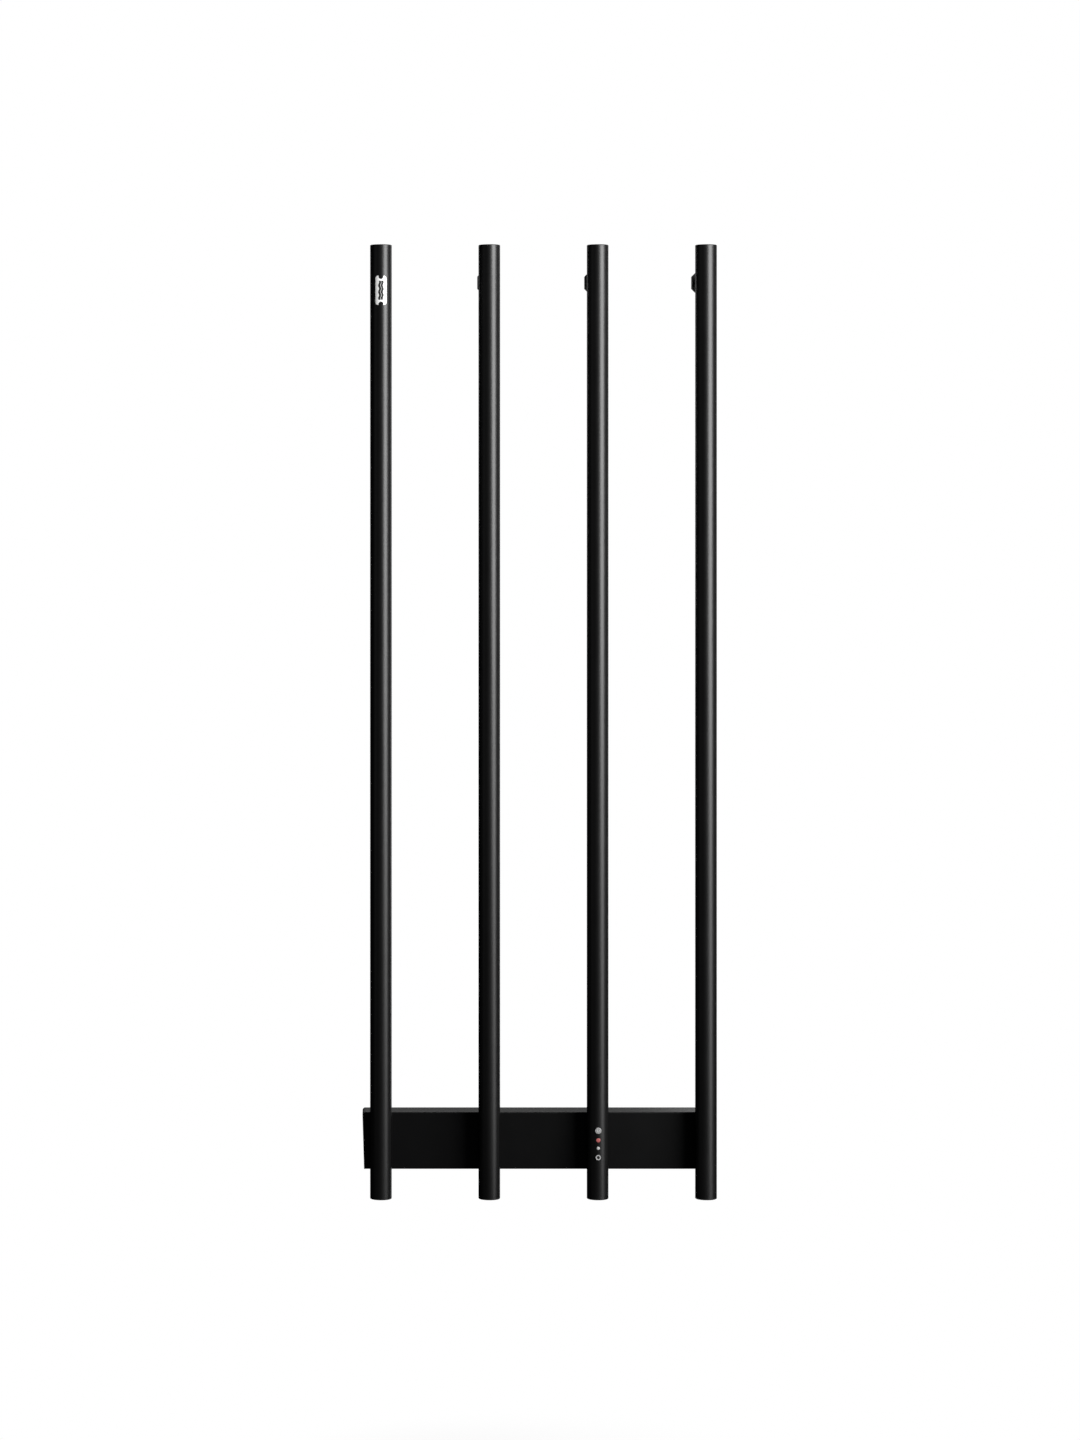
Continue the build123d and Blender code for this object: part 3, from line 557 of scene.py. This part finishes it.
def material_for(slot):
    """The finished material of one of the record's slots, made once."""
    made = bpy.data.materials.get(slot)
    if made and made.get("rail_finish"):
        return made
    if made:
        made.name = slot + "_plain"
    coat = bpy.context.scene.drying_rail.coat
    recipes = {
        "tube_powder_coat": lambda: powder_coat(slot, coat),
        "tube_cap": lambda: powder_coat(slot, coat, gloss_shift=0.02),
        "housing_powder_coat": lambda: powder_coat(slot, coat, gloss_shift=-0.06, gain=0.8),
        "foot_coat": lambda: powder_coat(slot, coat, gloss_shift=0.08),
        "end_cap_plastic": lambda: moulded(
            slot, coat.colour, 0.46, 0.5 * MM, 0.01 * MM, edge_sheen=coat.edge_sheen
        ),
        "black_anodised": lambda: anodised(slot, (0.02, 0.02, 0.022)),
        "zinc_steel": lambda: plated(slot, (0.50, 0.51, 0.53)),
        "black_steel": lambda: plated(slot, (0.03, 0.03, 0.032), 0.4, 3 * MM),
        "brass": lambda: plated(slot, (0.62, 0.43, 0.16), 0.25, 4 * MM),
        "black_nylon": lambda: moulded(slot, (0.012, 0.012, 0.013)),
        "white_nylon": lambda: moulded(slot, (0.72, 0.71, 0.67), 0.42),
        "green_nylon": lambda: moulded(slot, (0.03, 0.20, 0.07), 0.4),
        "relay_case": lambda: moulded(slot, (0.02, 0.06, 0.28), 0.28),
        "cutout_moulding": lambda: moulded(slot, (0.02, 0.02, 0.024), 0.55),
        "black_rubber": lambda: moulded(slot, (0.014, 0.014, 0.014), 0.72, 0.5 * MM, 0.015 * MM),
        "pale_button": lambda: moulded(slot, (0.42, 0.42, 0.42), 0.45),
        "black_button": lambda: moulded(slot, (0.012, 0.012, 0.012), 0.42),
        "heating_cable": lambda: sheathed(slot, (0.32, 0.06, 0.035)),
        "silicone_lead": lambda: sheathed(slot, (0.45, 0.45, 0.43)),
        "grey_lead": lambda: sheathed(slot, (0.16, 0.16, 0.17), 0.45),
        "supply_lead": lambda: sheathed(slot, (0.16, 0.06, 0.025), 0.4),
        "white_plate": lambda: enamel(slot, (0.93, 0.93, 0.92)),
        "red_lens": lambda: lens(slot, (0.35, 0.095, 0.092), 0.32),
        "white_lens": lambda: lens(slot, (0.43, 0.43, 0.425), 0.32),
        "circuit_board": lambda: circuit_board(slot),
        "fuse_glass": lambda: fuse_glass(slot),
    }
    made = recipes[slot]()
    made["rail_finish"] = True
    return made


def finish_nodes(slots):
    """Gives every CAD node of these slots its finished material."""
    for node, slot in SLOT_OF.items():
        if slot in slots:
            for holder in NODES[node].material_slots:
                holder.material = material_for(slot)


# ---- Mesh helpers ----


def piece(name, shape, body, slot):
    """Turns a finished bmesh into an object at the origin that rides on a body and has a slot's finish."""
    mesh = bpy.data.meshes.new(name)
    shape.to_mesh(mesh)
    shape.free()
    mesh.shade_smooth()
    mesh.set_sharp_from_angle(angle=SHARP_ANGLE)
    mesh.materials.append(material_for(slot))
    made = bpy.data.objects.new(name, mesh)
    bpy.context.scene.collection.objects.link(made)
    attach(made, body)
    return made


def turned(profile, centre, steps=48):
    """A closed solid turned about the line along Y through a centre, from (radius, y) points."""
    shape = bmesh.new()
    rim = [shape.verts.new((centre.x + radius, y, centre.z)) for radius, y in profile]
    edges = [shape.edges.new(pair) for pair in zip(rim, rim[1:])]
    bmesh.ops.spin(
        shape,
        geom=rim + edges,
        cent=centre,
        axis=(0, 1, 0),
        angle=math.tau,
        steps=steps,
        use_merge=True,
    )
    bmesh.ops.remove_doubles(shape, verts=shape.verts, dist=MM / 1000)
    bmesh.ops.recalc_face_normals(shape, faces=shape.faces)
    return shape


def bar(shape, low, high):
    """Adds a box between two corners to a shape and returns its vertices."""
    made = bmesh.ops.create_cube(shape, size=1.0)["verts"]
    low = Vector(low)
    high = Vector(high)
    bmesh.ops.scale(shape, verts=made, vec=high - low)
    bmesh.ops.translate(shape, verts=made, vec=(low + high) / 2)
    return made


# ---- Pieces ----


def power_ring(marks):
    """The pale ring printed on the power button."""
    low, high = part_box("power_button")
    centre = (low + high) / 2
    front = low.y - marks.ink_thickness
    corner = marks.ink_thickness / 2
    profile = [
        (marks.ring_inner, low.y),
        (marks.ring_inner, front + corner),
        (marks.ring_inner + corner, front),
        (marks.ring_outer - corner, front),
        (marks.ring_outer, front + corner),
        (marks.ring_outer, low.y),
        (marks.ring_inner, low.y),
    ]
    return piece("power_ring_print", turned(profile, centre, ROUND_STEPS), "power_key", "pale_button")


def timer_dial(marks):
    """The clock dial printed on the timer button: a thin circle and two hands."""
    low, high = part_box("timer_button")
    centre = (low + high) / 2
    front = low.y - marks.ink_thickness
    profile = [
        (marks.dial_radius - marks.line, low.y),
        (marks.dial_radius - marks.line, front),
        (marks.dial_radius, front),
        (marks.dial_radius, low.y),
        (marks.dial_radius - marks.line, low.y),
    ]
    shape = turned(profile, centre, ROUND_STEPS)
    half = marks.line / 2
    for degrees, reach in DIAL_HANDS:
        turn = Matrix.Rotation(math.radians(degrees), 3, "Y")
        verts = bar(shape, (-half, 0, -half), (half, marks.ink_thickness, marks.dial_radius * reach))
        bmesh.ops.rotate(shape, verts=verts, cent=(0, 0, 0), matrix=turn)
        bmesh.ops.translate(shape, verts=verts, vec=(centre.x, front, centre.z))
    return piece("timer_dial_print", shape, "timer_key", "black_button")


def indicator_lens(node, name):
    """A domed lens with a stepped skirt that stands for a CAD indicator."""
    low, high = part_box(node)
    centre = (low + high) / 2
    flange = (high.x - low.x) / 2
    radius = flange - LENS_LEDGE
    dome = []
    for step in range(LENS_STEPS + 1):
        angle = math.pi / 2 * step / LENS_STEPS
        dome.append((radius * math.sin(angle), low.y + LENS_RISE * (1 - math.cos(angle))))
    skirt = [
        (radius, high.y - LENS_SKIRT),
        (flange - LENS_CHAMFER, high.y - LENS_SKIRT),
        (flange, high.y - LENS_SKIRT + LENS_CHAMFER),
        (flange, high.y),
        (0.0, high.y),
    ]
    made = piece(name, turned(dome + skirt, centre), "rail", SLOT_OF[node])
    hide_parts(node)
    return made


def wrap_on_tube(shape, tube, radius):
    """Bends a flat shape round a tube: local x goes round, local y is depth below the radius."""
    for vert in shape.verts:
        angle = math.asin(max(-1.0, min(1.0, vert.co.x / radius)))
        reach = radius - vert.co.y
        vert.co.x = tube.x + reach * math.sin(angle)
        vert.co.y = tube.y - reach * math.cos(angle)


def heat_waves(marks):
    """The heat waves printed down the middle of the name plate."""
    shape = bmesh.new()
    upright = Matrix.Rotation(math.radians(90), 3, "X")
    segments = {"x_segments": WAVE_WIDTH_STEPS, "y_segments": WAVE_STEPS}
    for number in range(marks.wave_count):
        # enough segments across that no strip sinks into the curved plate
        strip = bmesh.ops.create_grid(shape, size=0.5, **segments)["verts"]
        bmesh.ops.rotate(shape, verts=strip, cent=(0, 0, 0), matrix=upright)
        bmesh.ops.scale(shape, verts=strip, vec=(marks.wave_line, 1, marks.wave_height))
        side = (number - (marks.wave_count - 1) / 2) * marks.wave_spacing
        for vert in strip:
            turn = vert.co.z / marks.wave_height * marks.wave_turns * math.tau
            vert.co.x += side + marks.wave_swing * math.sin(turn)
    back = bmesh.ops.extrude_face_region(shape, geom=shape.faces[:], use_keep_orig=True)["geom"]
    moved = [item for item in back if isinstance(item, bmesh.types.BMVert)]
    bmesh.ops.translate(shape, verts=moved, vec=(0, marks.ink_thickness, 0))
    bmesh.ops.recalc_face_normals(shape, faces=shape.faces)
    bmesh.ops.translate(shape, verts=shape.verts, vec=(0, 0, middle("name_plate").z))
    wrap_on_tube(shape, PLATE_TUBE, PLATE_RADIUS + marks.ink_thickness)
    return piece("heat_wave_print", shape, "rail", "black_button")


# ---- Stage ----

# Each light: where it stands, what it is aimed at, its width and height, and the setting of its brightness
SOFTBOXES = {
    "key_softbox": ((1.45, -1.45, 1.50), (0.0, CONTROL_TUBE.y, 1.3), 1.4, 2.2, "key_radiance"),
    "low_softbox": ((1.08, -0.82, 0.13), (0.1, CONTROL_TUBE.y, 0.13), 0.55, 0.74, "low_radiance"),
    "fill_softbox": ((-2.2, -1.2, 1.00), (0.0, CONTROL_TUBE.y, 0.9), 1.2, 2.4, "fill_radiance"),
    "rear_softbox": ((1.40, 2.20, 1.10), (0.0, 0.0, 0.4), 1.6, 2.4, "rear_radiance"),
    "rim_softbox": ((0.75, 2.00, -0.10), (0.0, 0.0, 0.6), 1.0, 1.0, "rim_radiance"),
    "back_panel": ((0.0, 2.20, 1.30), (0.0, 0.0, 0.6), 3.0, 1.6, "back_radiance"),
}


def softbox(name, place, target, width, height, radiance):
    """A rectangular light at a place, aimed at a target, that the camera doesn't see."""
    data = bpy.data.lights.new(name, "AREA")
    data.shape = "RECTANGLE"
    data.size = width
    data.size_y = height
    data.energy = radiance * math.pi * width * height
    made = bpy.data.objects.new(name, data)
    bpy.context.scene.collection.objects.link(made)
    made.location = place
    made.rotation_euler = (Vector(target) - Vector(place)).to_track_quat("-Z", "Y").to_euler()
    made.visible_camera = False
    return made


def studio_floor(drop):
    """A large pale floor that turns into the white surround away from the rail."""
    shape = bmesh.new()
    bmesh.ops.create_grid(shape, x_segments=8, y_segments=8, size=FLOOR_HALF_WIDTH)
    bmesh.ops.translate(shape, verts=shape.verts, vec=(0, 0, RAIL_LOW.z - drop))
    mesh = bpy.data.meshes.new("studio_floor")
    shape.to_mesh(mesh)
    shape.free()
    floor = bpy.data.objects.new("studio_floor", mesh)
    bpy.context.scene.collection.objects.link(floor)
    finish = Finish("studio_floor")
    spot = finish.node("ShaderNodeMapping", sockets={"Vector": finish.place(), "Scale": (1, 1, 0)})
    away = finish.node("ShaderNodeVectorMath", {"operation": "LENGTH"}, {0: spot}, output="Value")
    pale = finish.node("ShaderNodeBsdfDiffuse", sockets={"Color": FLOOR_GREY})
    white = finish.node("ShaderNodeEmission", sockets={"Color": WHITE, "Strength": 1.0})
    share = finish.step(away, FLOOR_FADE_START, FLOOR_FADE_END) * (1 - FLOOR_WHITE_NEAR) + FLOOR_WHITE_NEAR
    mixed = finish.node("ShaderNodeMixShader", sockets={"Fac": share, 1: pale, 2: white})
    finish.node("ShaderNodeOutputMaterial", sockets={"Surface": mixed})
    mesh.materials.append(finish.material)
    floor.visible_diffuse = False
    floor.visible_glossy = False
    return floor


def studio_world():
    """White behind the rail, dark in its reflections."""
    world = bpy.data.worlds.new("studio")
    world.use_nodes = True
    tree = world.node_tree
    tree.nodes.clear()
    path = tree.nodes.new("ShaderNodeLightPath")
    seen = tree.nodes.new("ShaderNodeBackground")
    seen.inputs["Color"].default_value = WHITE
    lit = tree.nodes.new("ShaderNodeBackground")
    lit.inputs["Color"].default_value = DIM_SURROUND
    mix = tree.nodes.new("ShaderNodeMixShader")
    out = tree.nodes.new("ShaderNodeOutputWorld")
    tree.links.new(path.outputs["Is Camera Ray"], mix.inputs[0])
    tree.links.new(lit.outputs[0], mix.inputs[1])
    tree.links.new(seen.outputs[0], mix.inputs[2])
    tree.links.new(mix.outputs[0], out.inputs["Surface"])
    bpy.context.scene.world = world


def studio_camera(stage):
    """A level camera that faces the wall squarely; the picture is framed by shifting the lens."""
    data = bpy.data.cameras.new("studio_camera")
    data.sensor_width = SENSOR_WIDTH
    data.lens = data.sensor_width * stage.eye_distance / stage.picture_height
    data.shift_x = (stage.picture_middle[0] - stage.eye_side) / stage.picture_height
    data.shift_y = (stage.picture_middle[1] - stage.eye_height) / stage.picture_height
    data.dof.use_dof = False
    data.clip_end = FAR_CLIP
    camera = bpy.data.objects.new("studio_camera", data)
    camera.location = (stage.eye_side, CONTROL_TUBE.y - stage.eye_distance, stage.eye_height)
    camera.rotation_euler = (math.radians(90), 0, 0)
    bpy.context.scene.collection.objects.link(camera)
    bpy.context.scene.camera = camera
    return camera


# ---- Operators ----


class RAIL_OT_finish_tubes(bpy.types.Operator):
    """Powder-coats the tubes and their end caps"""

    bl_idname = "rail.finish_tubes"
    bl_label = "Finish Tubes"

    def execute(self, context):
        finish_nodes({"tube_powder_coat", "tube_cap"})
        return {"FINISHED"}


class RAIL_OT_finish_housing(bpy.types.Operator):
    """Finishes the housing, its end caps, the wall feet, the saddles and the standoffs"""

    bl_idname = "rail.finish_housing"
    bl_label = "Finish Housing and Feet"

    def execute(self, context):
        finish_nodes({"housing_powder_coat", "end_cap_plastic", "foot_coat", "black_anodised"})
        return {"FINISHED"}


class RAIL_OT_finish_metalwork(bpy.types.Operator):
    """Finishes the wall plate, studs, nuts and screws"""

    bl_idname = "rail.finish_metalwork"
    bl_label = "Finish Metalwork"

    def execute(self, context):
        finish_nodes({"zinc_steel", "black_steel", "brass"})
        return {"FINISHED"}


class RAIL_OT_finish_mouldings(bpy.types.Operator):
    """Finishes the plastic and rubber mouldings and the buttons"""

    bl_idname = "rail.finish_mouldings"
    bl_label = "Finish Mouldings"

    def execute(self, context):
        finish_nodes({"black_nylon", "white_nylon", "green_nylon", "relay_case", "cutout_moulding"})
        finish_nodes({"black_rubber", "pale_button", "black_button"})
        return {"FINISHED"}


class RAIL_OT_finish_electrics(bpy.types.Operator):
    """Finishes the heating cables, leads, circuit boards and fuse"""

    bl_idname = "rail.finish_electrics"
    bl_label = "Finish Electrics"

    def execute(self, context):
        finish_nodes({"heating_cable", "silicone_lead", "grey_lead", "supply_lead"})
        finish_nodes({"circuit_board", "fuse_glass"})
        return {"FINISHED"}


class RAIL_OT_name_plate(bpy.types.Operator):
    """Enamels the curved name plate and prints its heat waves"""

    bl_idname = "rail.name_plate"
    bl_label = "Finish Name Plate"

    def execute(self, context):
        finish_nodes({"white_plate"})
        heat_waves(context.scene.drying_rail.marks)
        return {"FINISHED"}


class RAIL_OT_button_marks(bpy.types.Operator):
    """Adds the printed marks on the two push buttons"""

    bl_idname = "rail.button_marks"
    bl_label = "Add Button Marks"

    def execute(self, context):
        power_ring(context.scene.drying_rail.marks)
        timer_dial(context.scene.drying_rail.marks)
        return {"FINISHED"}


class RAIL_OT_indicator_lenses(bpy.types.Operator):
    """Adds the red and the white indicator lens"""

    bl_idname = "rail.indicator_lenses"
    bl_label = "Add Indicator Lenses"

    def execute(self, context):
        indicator_lens("red_indicator", "red_indicator_lens")
        indicator_lens("white_indicator", "white_indicator_lens")
        return {"FINISHED"}


class RAIL_OT_stage(bpy.types.Operator):
    """Sets up the camera, the softboxes, the floor and the white surround"""

    bl_idname = "rail.stage"
    bl_label = "Set Up Stage"

    def execute(self, context):
        stage = context.scene.drying_rail.stage
        studio_camera(stage)
        studio_floor(stage.floor_drop)
        studio_world()
        for name, (place, target, width, height, radiance) in SOFTBOXES.items():
            softbox(name, place, target, width, height, getattr(stage, radiance))
        context.scene.view_settings.view_transform = "Standard"
        return {"FINISHED"}


class RAIL_PT_looks(bpy.types.Panel):
    """Lists the rail's settings and what can be made"""

    bl_idname = "RAIL_PT_looks"
    bl_label = "Drying Rail"
    bl_space_type = "VIEW_3D"
    bl_region_type = "UI"
    bl_category = "Drying Rail"

    def draw(self, context):
        looks = context.scene.drying_rail
        for title, group in (("Coat", looks.coat), ("Marks", looks.marks), ("Stage", looks.stage)):
            box = self.layout.box()
            box.label(text=title)
            for key in group.__annotations__:
                box.prop(group, key)
        for operator in OPERATORS:
            self.layout.operator(operator.bl_idname)


OPERATORS = [
    RAIL_OT_finish_tubes,
    RAIL_OT_finish_housing,
    RAIL_OT_finish_metalwork,
    RAIL_OT_finish_mouldings,
    RAIL_OT_finish_electrics,
    RAIL_OT_name_plate,
    RAIL_OT_button_marks,
    RAIL_OT_indicator_lenses,
    RAIL_OT_stage,
]
SETTINGS = [RailCoatSettings, RailMarkSettings, RailStageSettings, RailLooks]


def register():
    for made in SETTINGS + OPERATORS + [RAIL_PT_looks]:
        bpy.utils.register_class(made)
    bpy.types.Scene.drying_rail = PointerProperty(type=RailLooks)


def unregister():
    del bpy.types.Scene.drying_rail
    for made in reversed(SETTINGS + OPERATORS + [RAIL_PT_looks]):
        bpy.utils.unregister_class(made)


def main():
    register()
    bpy.ops.rail.finish_tubes()
    bpy.ops.rail.finish_housing()
    bpy.ops.rail.finish_metalwork()
    bpy.ops.rail.finish_mouldings()
    bpy.ops.rail.finish_electrics()
    bpy.ops.rail.name_plate()
    bpy.ops.rail.button_marks()
    bpy.ops.rail.indicator_lenses()
    bpy.ops.rail.stage()


if __name__ == "__main__":
    main()
